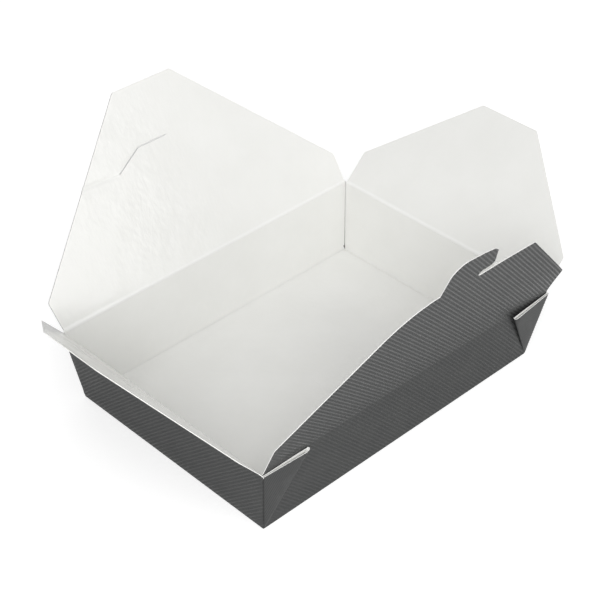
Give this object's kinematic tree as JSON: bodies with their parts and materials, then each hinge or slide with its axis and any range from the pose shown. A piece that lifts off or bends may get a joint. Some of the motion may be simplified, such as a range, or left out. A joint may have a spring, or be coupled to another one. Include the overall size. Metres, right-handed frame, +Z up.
{
  "type": "takeaway box",
  "caption": "Open takeaway food box folded from one sheet of board: flared leak-proof tray with folded corner webs, and lid flaps on creases with a hooked tab and its slit.",
  "frame": {"origin": "centre of the base, on the face that stands on the table", "axes": "+X along the long side, +Y across the box towards the slot flap's wall, +Z up"},
  "size_m": [0.3106, 0.2478, 0.1433],
  "materials": {
    "box_board": "matte charcoal outside printed with fine pale diagonal lines, smooth white coated inside, white cut edges"
  },
  "bodies": {
    "tray": {"tray": "box_board"},
    "left_end_flap": {"left_end_flap": "box_board"},
    "right_end_flap": {"right_end_flap": "box_board"},
    "slot_flap": {"slot_flap": "box_board"},
    "tab_flap": {"tab_flap": "box_board"}
  },
  "joints": [
    {"name": "left_end_crease", "type": "hinge", "parent": "tray", "child": "left_end_flap", "pos_m": [-0.10417, 0, 0.043], "axis": [0, 1, 0], "range_deg": [-80.3, 129.7]},
    {"name": "right_end_crease", "type": "hinge", "parent": "tray", "child": "right_end_flap", "pos_m": [0.10417, 0, 0.043], "axis": [0, -1, 0], "range_deg": [-74.7, 135.3]},
    {"name": "slot_flap_crease", "type": "hinge", "parent": "tray", "child": "slot_flap", "pos_m": [0, 0.07574, 0.0435], "axis": [1, 0, 0], "range_deg": [-77.7, 122.3]},
    {"name": "tab_flap_crease", "type": "hinge", "parent": "tray", "child": "tab_flap", "pos_m": [0, -0.07581, 0.044], "axis": [-1, 0, 0], "range_deg": [-87.3, 112.7]}
  ]
}
